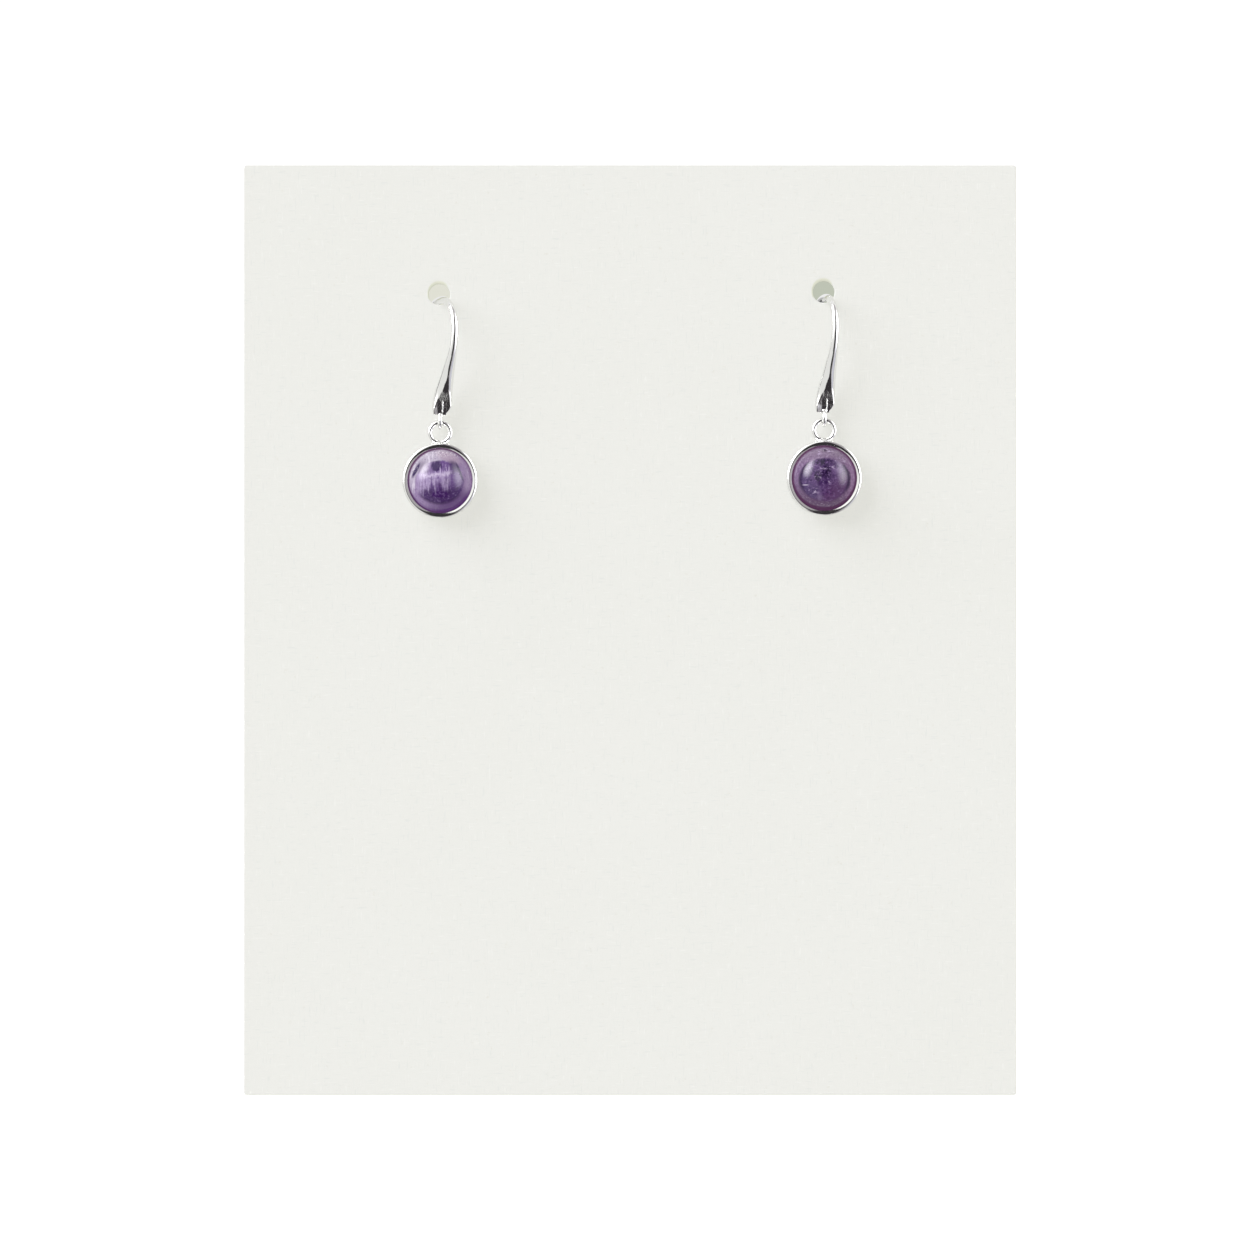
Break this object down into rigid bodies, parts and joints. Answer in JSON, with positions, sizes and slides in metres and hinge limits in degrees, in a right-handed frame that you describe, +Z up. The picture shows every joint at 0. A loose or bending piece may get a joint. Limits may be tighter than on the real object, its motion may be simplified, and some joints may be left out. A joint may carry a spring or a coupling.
{
  "type": "pair of drop earrings on a display card",
  "caption": "Ear hooks with a flared blade and a round bezel drop set with a domed purple stone, hung through the two holes of a plain upright display card",
  "frame": {"origin": "middle of the card's lower edge, half way through its thickness, where a display slot holds it", "axes": "+Z up the card, -Y out of its face towards the viewer, +X across it to the viewer's right"},
  "size_m": [0.075, 0.0087, 0.0903],
  "materials": {
    "card": "matte off-white board with a fine linen emboss",
    "polished_silver": "mirror-polished silver",
    "pale_amethyst": "polished, milky lavender with pale streaks over a darker base",
    "deep_amethyst": "polished, deep purple with small pale flecks"
  },
  "bodies": {
    "card_and_hooks": {"display_card": "card", "left_ear_hook": "polished_silver", "right_ear_hook": "polished_silver"},
    "left_drop": {"left_bezel_setting": "polished_silver", "left_cabochon": "pale_amethyst"},
    "right_drop": {"right_bezel_setting": "polished_silver", "right_cabochon": "deep_amethyst"}
  },
  "joints": [
    {"name": "left_drop_swing", "type": "hinge", "parent": "card_and_hooks", "child": "left_drop", "pos_m": [-0.01841, -0.00119, 0.06476], "axis": [0, 1, 0], "range_deg": [-75, 75]},
    {"name": "right_drop_swing", "type": "hinge", "parent": "card_and_hooks", "child": "right_drop", "pos_m": [0.01883, -0.00121, 0.065], "axis": [0, 1, 0], "range_deg": [-75, 75]}
  ]
}
